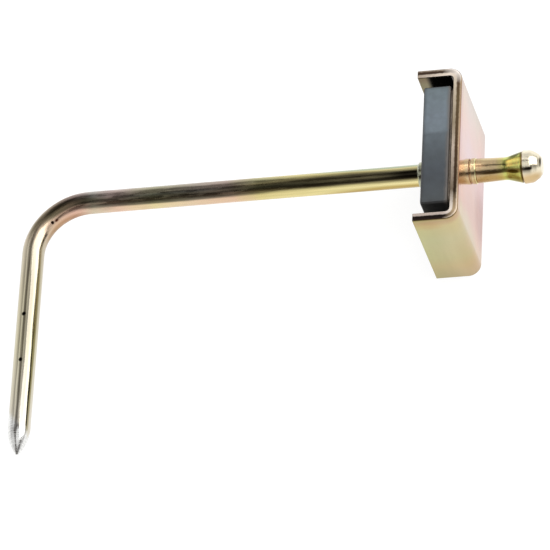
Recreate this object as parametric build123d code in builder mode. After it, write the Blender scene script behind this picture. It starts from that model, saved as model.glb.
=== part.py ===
from build123d import *
import os

# Hoof pick: a bent round bar with a ground point, carried in a channel magnet that swivels on
# it, and a turned knob behind the magnet.
#
# Millimetres, +Z up. X = 0 is the outer face of the channel's plate, Y = 0 is the swivel axis
# and Z = 0 is the surface that the channel stands on. The knob points along +X, the pole faces
# look along -X and the leg of the pick points along -Y.

# ---- driving dimensions ----

# the pick, one bar
bar_diameter = 8.0
leg_length = 100.0  # swivel axis to the tip
leg_to_plate = 159.0  # axis of the leg to the outer face of the plate
bend_radius = 20.0  # on the bar's centre line
# the point is ground in three short cones, and each length is from the tip to where one starts
point_length = 9.0
point_middle = 4.8
point_nose = 1.6
middle_diameter = 6.1
nose_diameter = 2.9
point_land = 1.0  # diameter of the blunt tip
point_blend = 1.5
tip_round = 0.3
spigot_diameter = 5.8  # turned-down end behind the head
spigot_length = 17.0
spigot_lead_in = 0.4  # chamfer on the end of the spigot

# the channel, bent from sheet
sheet = 3.0
channel_height = 61.0  # over the two flanges
channel_length = 41.0
flange_depth = 16.0  # outer face of the plate to the pole faces
inner_bend = 1.5  # inside radius of each bend
arris_round = 0.25  # deburred edges of the sheet

# the magnet and the bed that holds it to the plate
block_thickness = 9.5
block_side_gap = 3.75  # to each flange
block_chamfer = 0.4
bed_thickness = 1.0
bed_inset = 0.8  # the bed stops this far inside the block's edges

# the pieces that keep the head in its place on the bar
collar_diameter = 9.4
collar_length = 5.0
collar_chamfer = 0.5
ring_diameter = 9.2
ring_thickness = 1.8
ring_chamfer = 0.3

# the knob, turned
knob_length = 23.2
neck_diameter = 8.8  # where the neck meets the ring
waist_diameter = 7.9  # where the lines of the taper and the flare would cross
waist_at = 10.5  # from the ring
waist_blend = 12.0
crown_diameter = 12.5  # where the lines of the flare and the back cone would cross
crown_at = 18.6  # from the ring
crown_round = 2.5
end_diameter = 7.6
end_round = 1.4
knob_bore_spare = 0.8  # left free beyond the end of the spigot

# fits and clearances, on the radius or along the axis
running_fit = 0.05  # bar in the plate
block_clearance = 0.4  # bar in the magnet and its bed, which never touch it
end_float = 0.2  # head between collar and ring, each side
press_fit = 0.01  # collar, ring and knob on the bar

# ---- places that follow from them ----

swivel_height = channel_length / 2
swivel_axis = Axis((0, 0, swivel_height), (1, 0, 0))
bar_radius = bar_diameter / 2
spigot_radius = spigot_diameter / 2
inside_height = channel_height - 2 * sheet
block_height = inside_height - 2 * block_side_gap
block_length = channel_length  # flush with the channel at both ends
bed_back = -sheet
block_back = bed_back - bed_thickness
block_face = block_back - block_thickness
collar_start = block_face - end_float - collar_length
ring_start = end_float
knob_start = ring_start + ring_thickness
handle_start = bend_radius - leg_to_plate
shank_end = point_length + point_blend  # from the tip to the last of the plain bar
leg_straight = leg_length - bend_radius - shank_end

os.makedirs("parts", exist_ok=True)

# ---- head ----

# A U of bent sheet. The plate joins two flanges, and the tips of the flanges are the poles.
with BuildPart() as channel:
    with BuildSketch(Plane.XY):
        with BuildLine():
            FilletPolyline(
                (-flange_depth, inside_height / 2),
                (-sheet, inside_height / 2),
                (-sheet, -inside_height / 2),
                (-flange_depth, -inside_height / 2),
                radius=inner_bend,
            )
            offset(amount=sheet, side=Side.LEFT)
        make_face()
    extrude(amount=channel_length)
    end_edges = channel.faces().filter_by(Axis.Z).edges()
    tip_edges = channel.edges().filter_by(Axis.Z).group_by(Axis.X)[0]
    fillet(end_edges + tip_edges, radius=arris_round)
    with Locations(Plane(origin=(0, 0, swivel_height), z_dir=(1, 0, 0))):
        Hole(radius=bar_radius + running_fit, depth=sheet)
channel.part.label = "channel"
export_step(channel.part, "parts/channel.step")

# The magnet is a plain pressed block, a little back from the poles and clear of both flanges.
with BuildPart() as magnet_block:
    with BuildSketch(Plane.YZ.offset(block_face)):
        with Locations((0, swivel_height)):
            Rectangle(block_height, block_length)
    extrude(amount=block_thickness)
    chamfer(magnet_block.edges(), length=block_chamfer)
    with Locations(Plane(origin=(block_back, 0, swivel_height), z_dir=(1, 0, 0))):
        Hole(radius=bar_radius + block_clearance, depth=block_thickness)
magnet_block.part.label = "magnet_block"
export_step(magnet_block.part, "parts/magnet_block.step")

# The cured bed between the block and the plate.
with BuildPart() as adhesive_bed:
    with BuildSketch(Plane.YZ.offset(block_back)):
        with Locations((0, swivel_height)):
            Rectangle(block_height - 2 * bed_inset, block_length - 2 * bed_inset)
            Circle(bar_radius + block_clearance, mode=Mode.SUBTRACT)
    extrude(amount=bed_thickness)
adhesive_bed.part.label = "adhesive_bed"
export_step(adhesive_bed.part, "parts/adhesive_bed.step")

# ---- pick ----

# One bar: the handle, the bend, the leg, the ground point, and the spigot behind the head.
with BuildPart() as pick_rod:
    with BuildSketch(Plane.YZ.offset(handle_start)) as bar_section:
        with Locations((0, swivel_height)):
            Circle(bar_radius)
    extrude(amount=ring_start - handle_start)
    bend_axis = Axis((handle_start, -bend_radius, swivel_height), (0, 0, 1))
    revolve(bar_section.sketch, axis=bend_axis, revolution_arc=90)
    with BuildSketch(Plane.XZ.offset(bend_radius)):
        with Locations((-leg_to_plate, swivel_height)):
            Circle(bar_radius)
    extrude(amount=leg_straight)
    tip = Plane(origin=(-leg_to_plate, -leg_length, swivel_height), x_dir=(0, 1, 0), z_dir=(0, 0, 1))
    with BuildSketch(tip):
        with BuildLine():
            cones = FilletPolyline(
                (shank_end, bar_radius),
                (point_length, bar_radius),
                (point_middle, middle_diameter / 2),
                (point_nose, nose_diameter / 2),
                (0, point_land / 2),
                (0, 0),
                radius=(point_blend, point_blend, point_blend, tip_round),
            )
            Polyline(cones @ 1, (shank_end, 0), cones @ 0)
        make_face()
    revolve(axis=Axis(tip.origin, tip.x_dir))
    with BuildSketch(Plane.YZ.offset(ring_start)):
        with Locations((0, swivel_height)):
            Circle(spigot_radius)
    extrude(amount=ring_thickness + spigot_length)
    chamfer(pick_rod.edges().sort_by(Axis.X)[-1], length=spigot_lead_in)
pick_rod.part.label = "pick_rod"
export_step(pick_rod.part, "parts/pick_rod.step")

# A sleeve pressed on the bar, against which the head runs on the hook side.
with BuildPart() as stop_collar:
    with BuildSketch(Plane.YZ.offset(collar_start)):
        with Locations((0, swivel_height)):
            Circle(collar_diameter / 2)
            Circle(bar_radius - press_fit, mode=Mode.SUBTRACT)
    extrude(amount=collar_length)
    outer_rims = stop_collar.edges().filter_by(GeomType.CIRCLE).group_by(SortBy.RADIUS)[-1]
    chamfer(outer_rims.sort_by(Axis.X)[0], length=collar_chamfer)
stop_collar.part.label = "stop_collar"
export_step(stop_collar.part, "parts/stop_collar.step")

# The ring that the back of the plate runs on, held between the bar's shoulder and the knob.
with BuildPart() as thrust_ring:
    with BuildSketch(Plane.YZ.offset(ring_start)):
        with Locations((0, swivel_height)):
            Circle(ring_diameter / 2)
            Circle(spigot_radius - press_fit, mode=Mode.SUBTRACT)
    extrude(amount=ring_thickness)
    outer_rims = thrust_ring.edges().filter_by(GeomType.CIRCLE).group_by(SortBy.RADIUS)[-1]
    chamfer(outer_rims, length=ring_chamfer)
thrust_ring.part.label = "thrust_ring"
export_step(thrust_ring.part, "parts/thrust_ring.step")

# The knob: a neck that tapers to a waist, a flare, a rounded crown and a flat end.
with BuildPart() as knob:
    base = Plane(origin=(knob_start, 0, swivel_height), x_dir=(1, 0, 0), z_dir=(0, -1, 0))
    with BuildSketch(base):
        with BuildLine():
            outline = FilletPolyline(
                (0, neck_diameter / 2),
                (waist_at, waist_diameter / 2),
                (crown_at, crown_diameter / 2),
                (knob_length, end_diameter / 2),
                (knob_length, 0),
                radius=(waist_blend, crown_round, end_round),
            )
            Polyline(outline @ 1, (0, 0), outline @ 0)
        make_face()
    revolve(axis=swivel_axis)
    with BuildSketch(Plane.YZ.offset(knob_start)):
        with Locations((0, swivel_height)):
            Circle(spigot_radius - press_fit)
    extrude(amount=spigot_length + knob_bore_spare, mode=Mode.SUBTRACT)
knob.part.label = "knob"
export_step(knob.part, "parts/knob.step")
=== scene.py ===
import logging
import math
from dataclasses import dataclass
from enum import Enum
from typing import Any, Sequence

import bmesh
import bpy
import numpy as np
from mathutils import Matrix, Vector

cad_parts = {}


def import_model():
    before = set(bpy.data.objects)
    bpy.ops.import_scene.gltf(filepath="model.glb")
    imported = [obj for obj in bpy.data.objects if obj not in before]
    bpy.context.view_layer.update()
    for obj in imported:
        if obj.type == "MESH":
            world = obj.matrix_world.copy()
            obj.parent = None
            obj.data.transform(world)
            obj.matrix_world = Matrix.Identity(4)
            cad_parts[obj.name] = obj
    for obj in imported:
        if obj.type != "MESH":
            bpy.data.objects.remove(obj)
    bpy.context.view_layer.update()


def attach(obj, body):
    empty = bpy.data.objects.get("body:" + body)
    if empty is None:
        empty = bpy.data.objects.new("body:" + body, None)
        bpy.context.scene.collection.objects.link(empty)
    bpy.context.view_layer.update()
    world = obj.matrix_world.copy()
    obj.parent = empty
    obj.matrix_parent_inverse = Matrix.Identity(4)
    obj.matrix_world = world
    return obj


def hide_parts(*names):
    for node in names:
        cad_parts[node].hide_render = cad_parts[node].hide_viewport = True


log = logging.getLogger("hoof_pick")

MM = 0.001  # sizes below are in millimetres, and Blender works in metres
CARRIED = "carried"  # attribute with coordinates that follow a piece's own surface, in mm
QUARTER = math.pi / 2
NOISE = {"From Min": 0.3, "From Max": 0.7}  # nearly all values of a noise pattern lie in here

Material, Tree, Socket = bpy.types.Material, bpy.types.NodeTree, bpy.types.NodeSocket
Triple = tuple[float, float, float]
Stops = tuple[tuple[float, str], ...]  # places along a colour ramp, and the hex colour at each


class Body(Enum):
    """The two rigid bodies of the model."""

    HEAD = "head"
    PICK = "pick"


class Slot(Enum):
    """The record's material slots."""

    PLATED = "plated_steel"
    FERRITE = "ferrite"
    EPOXY = "epoxy"


# ---------------------------------------------------------------- surfaces


@dataclass
class Surface:
    """A closed surface: points and their carried coordinates in millimetres, and quads."""

    points: np.ndarray
    carried: np.ndarray
    faces: np.ndarray


def woven(points: np.ndarray, carried: np.ndarray, wrap_rows: bool = False) -> Surface:
    """Joins a grid of points into a surface whose columns always close on themselves.

    Each quad joins point (i, j) with (i + 1, j), (i + 1, j + 1) and (i, j + 1). The volume
    under the quads, a sum of p0 . (p1 x p2) over their triangles, tells which way they face,
    and they are turned where it is negative.

    Args:
        points: Grid of points, rows by columns by 3.
        carried: Grid of carried coordinates of the same size.
        wrap_rows: True if the last row joins the first.

    Returns:
        The surface, facing outwards.
    """
    rows, columns, _ = points.shape
    index = np.arange(rows * columns).reshape(rows, columns)
    index = np.concatenate([index, index[:, :1]], axis=1)
    if wrap_rows:
        index = np.concatenate([index, index[:1]], axis=0)
    faces = np.stack([index[:-1, :-1], index[1:, :-1], index[1:, 1:], index[:-1, 1:]], axis=-1)
    faces = faces.reshape(-1, 4)
    flat = points.reshape(-1, 3)
    a, b, c, d = (flat[faces[:, k]] for k in range(4))
    volume = np.sum(a * np.cross(b, c)) + np.sum(a * np.cross(c, d))
    if volume < 0:
        faces = faces[:, ::-1]
    return Surface(flat, carried.reshape(-1, 3), faces)


def rounded(corners: Sequence[tuple], steps: int = 8, support: float = 0.03) -> np.ndarray:
    """Rounds the inner corners of an open outline with arcs.

    At a corner with half angle h between its two runs, an arc of radius r starts and ends
    r / tan(h) along the runs, about a centre r / sin(h) along the line that halves them. Each
    arc has one more point a little before and after it, which keeps the shading of flat faces
    flat.

    Args:
        corners: (first coordinate, second coordinate, radius) of each corner, in order. The
            radius of the two ends is ignored.
        steps: Points on each arc.
        support: Distance of the extra points from the arc.

    Returns:
        The outline's points, n by 2.
    """
    table = np.array(corners, float)
    spots, radii = table[:, :2], np.maximum(table[1:-1, 2], 1e-4)
    back = spots[:-2] - spots[1:-1]
    ahead = spots[2:] - spots[1:-1]
    back /= np.linalg.norm(back, axis=1, keepdims=True)
    ahead /= np.linalg.norm(ahead, axis=1, keepdims=True)
    half = np.arccos(np.clip(np.sum(back * ahead, axis=1), -1, 1)) / 2
    tangent = radii / np.tan(half)
    middle = back + ahead
    middle /= np.linalg.norm(middle, axis=1, keepdims=True)
    centre = spots[1:-1] + middle * (radii / np.sin(half))[:, None]
    first = (spots[1:-1] + back * tangent[:, None] - centre) / radii[:, None]
    last = (spots[1:-1] + ahead * tangent[:, None] - centre) / radii[:, None]
    sweep = (math.pi - 2 * half)[:, None, None]
    share = np.linspace(0, 1, steps)[None, :, None]
    swung = np.sin((1 - share) * sweep) * first[:, None] + np.sin(share * sweep) * last[:, None]
    arcs = centre[:, None] + radii[:, None, None] * swung / np.sin(sweep)
    room = np.where(radii > support, support, 0.0)[:, None]
    before = arcs[:, 0] + back * room
    after = arcs[:, -1] + ahead * room
    body = np.concatenate([before[:, None], arcs, after[:, None]], axis=1).reshape(-1, 2)
    return np.concatenate([spots[:1], body, spots[-1:]])


def divided(outline: np.ndarray, longest: float) -> np.ndarray:
    """Splits the long runs of an outline.

    Distances along the outline are joined with evenly spaced ones, and both coordinates are
    read off at all of them.

    Args:
        outline: Points, n by 2.
        longest: Largest spacing that the added points keep.

    Returns:
        The outline with more points on it.
    """
    lengths = np.linalg.norm(np.diff(outline, axis=0), axis=1)
    run = np.concatenate([[0.0], np.cumsum(lengths)])
    even = np.linspace(0, run[-1], int(run[-1] / longest) + 2)
    near = np.abs(even[:, None] - run[None, :]).min(axis=1) < longest / 4
    at = np.sort(np.concatenate([run, even[~near]]))
    return np.stack([np.interp(at, run, outline[:, 0]), np.interp(at, run, outline[:, 1])], axis=-1)


def turned(outline: np.ndarray, height: float, closed: bool = False, sides: int = 96) -> Surface:
    """A turned piece on the swivel axis: an outline of (x, radius) carried round the axis.

    A point is (x, r cos t, height + r sin t), and its carried coordinates are the same,
    measured from the axis.

    Args:
        outline: Points of x and radius. An open outline starts and ends on the axis.
        height: Height of the axis.
        closed: True if the outline closes on itself, as a ring's section does.
        sides: Points round the axis.

    Returns:
        The closed surface.
    """
    turn = np.linspace(0, 2 * math.pi, sides, endpoint=False)
    x = np.repeat(outline[:, :1], sides, axis=1)
    y = outline[:, 1:] * np.cos(turn)
    z = outline[:, 1:] * np.sin(turn)
    carried = np.stack([x, y, z], axis=-1)
    return woven(carried + np.array([0, 0, height]), carried, wrap_rows=closed)


@dataclass(frozen=True)
class BoredBlock:
    """A block with cut corners and a round bore on the swivel axis, as one surface."""

    stations: np.ndarray  # (x, inset) of the outer wall's rows, from one end face to the other
    half: tuple[float, float]  # half the width along Y and half the length along Z
    bore: float  # radius
    corner: float  # length of the cut corners
    height: float  # of the axis
    uneven: float = 0.0  # how far the wall wanders inwards, for a squeezed edge
    seed: int = 0  # chooses the wander
    rays: int = 17  # from the bore to each side of a corner
    close: float = 0.006  # radians between the four extra rays that keep a corner's shading crisp
    corner_draw: float = 1.2  # how much further a cut corner draws in than the sides

    def turns(self) -> np.ndarray:
        """Angles of the rays, closest together beside the four corners.

        Returns:
            The angles, in order round the whole bore.
        """
        corner_turn = math.atan2(self.half[1] - self.corner / 2, self.half[0] - self.corner / 2)
        square = np.linspace(0, corner_turn, self.rays)
        upright = np.linspace(corner_turn, QUARTER, self.rays)[1:]
        near = corner_turn + self.close * np.array([-2, -1, 1, 2])
        quarter = np.sort(np.concatenate([square, upright, near]))
        back, down = math.pi - quarter[-2::-1], math.pi + quarter[1:]
        return np.concatenate([quarter, back, down, -quarter[-2:0:-1]])

    def surface(self) -> Surface:
        """Works out the surface.

        Along each ray at angle t from the bore's centre, the wall of a rectangle with cut
        corners stands at the least of hy / |cos t|, hz / |sin t| and
        (hy + hz - c) / (|cos t| + |sin t|). The outer wall's rows follow that line, drawn in by
        each station's inset, and the bore's two rows are circles, so the rows run over the
        wall, one end, the bore and the other end.

        Returns:
            The closed surface.
        """
        turn = self.turns()
        cos, sin = np.abs(np.cos(turn)), np.abs(np.sin(turn))
        waves = np.arange(3, 12)
        phase = np.random.default_rng(self.seed).uniform(0, 2 * math.pi, waves.size)
        wander = np.cos(turn[:, None] * waves * 3 + phase).mean(axis=1)
        drawn_in = self.stations[:, 1:] + self.uneven * (0.5 + wander)
        wide, long = self.half
        cut = wide + long - self.corner - self.corner_draw * drawn_in
        reach = np.minimum.reduce([
            (wide - drawn_in) / np.maximum(cos, 1e-9),
            (long - drawn_in) / np.maximum(sin, 1e-9),
            cut / (cos + sin),
        ])
        reach = np.concatenate([reach, np.full((2, turn.size), self.bore)], axis=0)
        x = self.stations[:, 0]
        x = np.concatenate([x, [x[-1], x[0]]])
        along = np.repeat(x[:, None], turn.size, axis=1)
        carried = np.stack([along, reach * np.cos(turn), reach * np.sin(turn)], axis=-1)
        return woven(carried + np.array([0, 0, self.height]), carried, wrap_rows=True)


def new_object(name: str, data: bpy.types.ID) -> bpy.types.Object:
    """Makes an object at the origin and links it to the scene.

    Args:
        name: The object's name.
        data: Its mesh, lamp or camera.

    Returns:
        The linked object.
    """
    item = bpy.data.objects.new(name, data)
    bpy.context.scene.collection.objects.link(item)
    return item


def make_piece(name: str, surface: Surface, finishes: Sequence[Material]) -> bpy.types.Object:
    """Makes a surface into a Blender object at the origin, with closed poles, shaded smooth.

    Args:
        name: The piece's name.
        surface: The surface, in millimetres.
        finishes: The piece's materials.

    Returns:
        The linked object.
    """
    mesh = bpy.data.meshes.new(name)
    mesh.from_pydata((surface.points * MM).tolist(), [], surface.faces.tolist())
    carried = mesh.attributes.new(CARRIED, "FLOAT_VECTOR", "POINT")
    carried.data.foreach_set("vector", surface.carried.astype(np.float32).ravel())
    work = bmesh.new()
    work.from_mesh(mesh)
    bmesh.ops.remove_doubles(work, verts=work.verts, dist=1e-7)
    bmesh.ops.dissolve_degenerate(work, edges=work.edges, dist=1e-8)
    work.to_mesh(mesh)
    work.free()
    for finish in finishes:
        mesh.materials.append(finish)
    smooth(mesh)
    return new_object(name, mesh)


def smooth(mesh: bpy.types.Mesh, sharpest: float = 32.0) -> None:
    """Shades a mesh smooth, with edges over the angle, in degrees, kept sharp."""
    mesh.shade_smooth()
    mesh.set_sharp_from_angle(angle=math.radians(sharpest))


def seat(piece: bpy.types.Object, body: Body, node: str) -> None:
    """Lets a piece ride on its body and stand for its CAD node.

    Args:
        piece: The piece.
        body: The body that it moves with.
        node: The CAD node that it stands for.
    """
    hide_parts(node)
    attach(piece, body.value)
    log.info("%s: %d faces, on %s", piece.name, len(piece.data.polygons), body.value)


# ---------------------------------------------------------------- finishes


def colour(code: str) -> tuple[float, float, float, float]:
    """Turns an sRGB hex value to linear light.

    Args:
        code: Hex value such as "D8C08A".

    Returns:
        Linear red, green, blue and alpha.
    """
    byte = np.array([int(code[k : k + 2], 16) for k in (0, 2, 4)]) / 255
    linear = np.where(byte <= 0.04045, byte / 12.92, ((byte + 0.055) / 1.055) ** 2.4)
    return (*(float(v) for v in linear), 1.0)


def shares(stops: Stops) -> list[tuple[float, str]]:
    """Turns places in millimetres to shares of the way from the first stop to the last."""
    low, high = stops[0][0], stops[-1][0]
    return [((at - low) / (high - low), code) for at, code in stops]


def add_node(
    tree: Tree, kind: str, sockets: dict[Any, Any] | None = None,
    stops: Sequence[tuple[float, str]] = (), **settings: Any,
) -> bpy.types.Node:
    """Adds a node, sets its properties, and sets or links its sockets.

    Args:
        tree: The tree to add it to.
        kind: The node's type name.
        sockets: Input name or number to a value, or to the socket that it is linked from.
        stops: Position and hex colour of a colour ramp's stops.
        settings: The node's own properties.

    Returns:
        The node.
    """
    node = tree.nodes.new(kind)
    for key, value in settings.items():
        setattr(node, key, value)
    for key, value in (sockets or {}).items():
        if isinstance(value, Socket):
            tree.links.new(value, node.inputs[key])
        else:
            node.inputs[key].default_value = value
    for number, (place, code) in enumerate(stops):
        ramp = node.color_ramp.elements
        stop = ramp[number] if number < 2 else ramp.new(place)
        stop.position, stop.color = place, colour(code)
    return node


def new_tree(name: str) -> tuple[Material, Tree]:
    """Makes a material with an empty node tree.

    Args:
        name: The material's name.

    Returns:
        The material and its tree.
    """
    material = bpy.data.materials.new(name)
    material.use_nodes = True
    material.node_tree.nodes.clear()
    return material, material.node_tree


@dataclass
class Layers:
    """Sockets of a plating while its material is put together."""

    tree: Tree
    place: Socket  # carried coordinates
    axes: Any  # the same, split in three
    lines: Socket
    tint: Socket
    gloss: Socket
    relief: Socket  # height in mm


@dataclass(frozen=True)
class StainAndShade:
    """A soft-edged spot that tints the film: a pit, and more often a painted reflection or shade.
    """

    centre: Triple  # carried coordinates in mm
    reach: Triple  # how far it goes each way, in mm
    tint: str
    core: float = 0.2  # share of the reach that is covered wholly


@dataclass(frozen=True)
class Zinc:
    """Electroplated bright zinc under a yellow passivation film.

    Zinc gives a bright, slightly soft mirror. The film is about a light wave thick, so it tints
    the mirror straw, olive or pink by its thickness, which drifts over some centimetres where
    the bath drained. Lines that the steel had before plating still show through.
    """

    name: str
    film: Stops  # place along the carried X in mm, and tint there
    drift: float = 4.0  # mm that a tint's border wanders
    cloud: float = 14.0  # mm across a patch of even film
    grain: Triple = (0.03, 0.9, 0.9)  # lines per mm, drawn coarse to show
    streak: float = 0.1  # share by which the lines change the tint
    groove: float = 0.1  # mm of depth of the lines
    ripple: Triple = (3.0, 3.0, 3.0)  # mm from crest to crest of the low waves
    waviness: float = 0.1  # mm of depth of the low waves
    roughness: float = 0.2
    smoothest: float = 0.8  # the lines multiply the roughness by this at the least
    roughest: float = 1.25  # and by this at the most
    stains_and_shades: tuple[StainAndShade, ...] = ()

    def material(self) -> Material:
        """Builds the material.

        Returns:
            The material.
        """
        finish, tree = new_tree(self.name)
        layers = self.plating(tree)
        for stain_and_shade in self.stains_and_shades:
            self.blot_and_shade(layers, stain_and_shade)
        self.dress(layers)
        bump = add_node(tree, "ShaderNodeBump", {"Height": layers.relief, "Distance": MM})
        sockets = {
            "Base Color": layers.tint, "Roughness": layers.gloss, "Normal": bump.outputs[0],
            "Metallic": 1.0,
        }
        shader = add_node(tree, "ShaderNodeBsdfPrincipled", sockets)
        add_node(tree, "ShaderNodeOutputMaterial", {"Surface": shader.outputs[0]})
        return finish

    def plating(self, tree: Tree) -> Layers:
        """Lays the film along the carried X, wandering with the clouds, and the lines on it.

        Args:
            tree: The material's tree.

        Returns:
            The layers so far.
        """
        place = add_node(tree, "ShaderNodeAttribute", attribute_name=CARRIED).outputs["Vector"]
        axes = add_node(tree, "ShaderNodeSeparateXYZ", {0: place}).outputs
        scaled = add_node(
            tree, "ShaderNodeVectorMath", {0: place, 1: self.grain}, operation="MULTIPLY",
        )
        lines = add_node(
            tree, "ShaderNodeTexNoise",
            {"Vector": scaled.outputs[0], "Scale": 1.0, "Detail": 3.0, "Roughness": 0.6},
        ).outputs["Fac"]
        base = self.tinted(tree, place, axes, lines)
        gloss = add_node(
            tree, "ShaderNodeMapRange",
            {
                "Value": lines, **NOISE,
                "To Min": self.smoothest * self.roughness,
                "To Max": self.roughest * self.roughness,
            },
        )
        crests = [1 / length for length in self.ripple]
        spread = add_node(
            tree, "ShaderNodeVectorMath", {0: place, 1: crests}, operation="MULTIPLY",
        )
        low_waves = add_node(
            tree, "ShaderNodeTexNoise", {"Vector": spread.outputs[0], "Scale": 1.0, "Detail": 1.0},
        )
        waves = add_node(
            tree, "ShaderNodeMath", {0: low_waves.outputs["Fac"], 1: self.waviness},
            operation="MULTIPLY",
        )
        relief = add_node(
            tree, "ShaderNodeMath", {0: lines, 1: self.groove, 2: waves.outputs[0]},
            operation="MULTIPLY_ADD",
        )
        return Layers(tree, place, axes, lines, base, gloss.outputs[0], relief.outputs[0])

    def tinted(self, tree: Tree, place: Socket, axes: Any, lines: Socket) -> Socket:
        """The film's tint at a place along the carried X, varied by the lines.

        The clouds, which are a half on average, move the place by up to four drifts, and the
        ramp starts two drifts further on to even that out.

        Args:
            tree: The material's tree.
            place: Carried coordinates.
            axes: The same, split in three.
            lines: Pattern of the lines.

        Returns:
            The tint.
        """
        clouds = add_node(
            tree, "ShaderNodeTexNoise", {"Vector": place, "Scale": 1 / self.cloud, "Detail": 3.0},
        )
        wander = add_node(
            tree, "ShaderNodeMath", {0: clouds.outputs["Fac"], 1: 4 * self.drift, 2: axes[0]},
            operation="MULTIPLY_ADD",
        )
        low, high = self.film[0][0], self.film[-1][0]
        share = add_node(
            tree, "ShaderNodeMapRange",
            {
                "Value": wander.outputs[0],
                "From Min": low + 2 * self.drift, "From Max": high + 2 * self.drift,
            },
        )
        tint = add_node(
            tree, "ShaderNodeValToRGB", {"Fac": share.outputs[0]}, shares(self.film),
        )
        uneven = add_node(
            tree, "ShaderNodeMapRange",
            {"Value": lines, **NOISE, "To Min": 1 - self.streak, "To Max": 1 + self.streak / 2},
        )
        base = add_node(
            tree, "ShaderNodeVectorMath", {0: tint.outputs[0], "Scale": uneven.outputs[0]},
            operation="SCALE",
        )
        return base.outputs[0]

    def blot_and_shade(self, layers: Layers, stain_and_shade: StainAndShade) -> None:
        """Tints the film within a spot's reach: a pit, or a painted reflection or shade.

        Args:
            layers: The layers so far, whose tint is changed.
            stain_and_shade: The spot, a pit or a painted reflection or shade.
        """
        tree = layers.tree
        nearness = [1 / reach for reach in stain_and_shade.reach]
        start = [-at * near for at, near in zip(stain_and_shade.centre, nearness)]
        spot = add_node(
            tree, "ShaderNodeMapping",
            {"Vector": layers.place, "Location": start, "Scale": nearness},
        )
        away = add_node(tree, "ShaderNodeVectorMath", {0: spot.outputs[0]}, operation="LENGTH")
        cover = add_node(
            tree, "ShaderNodeMapRange",
            {
                "Value": away.outputs["Value"], "From Min": stain_and_shade.core, "From Max": 1.0,
                "To Min": 1.0, "To Max": 0.0,
            },
            interpolation_type="SMOOTHSTEP",
        )
        stained_and_shaded = add_node(
            tree, "ShaderNodeMix",
            {"Factor": cover.outputs[0], 6: layers.tint, 7: colour(stain_and_shade.tint)},
            data_type="RGBA", blend_type="MULTIPLY",
        )
        layers.tint = stained_and_shaded.outputs[2]

    def dress(self, layers: Layers) -> None:
        """Adds what is special to one kind of piece. A plain plating has nothing to add."""


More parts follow.
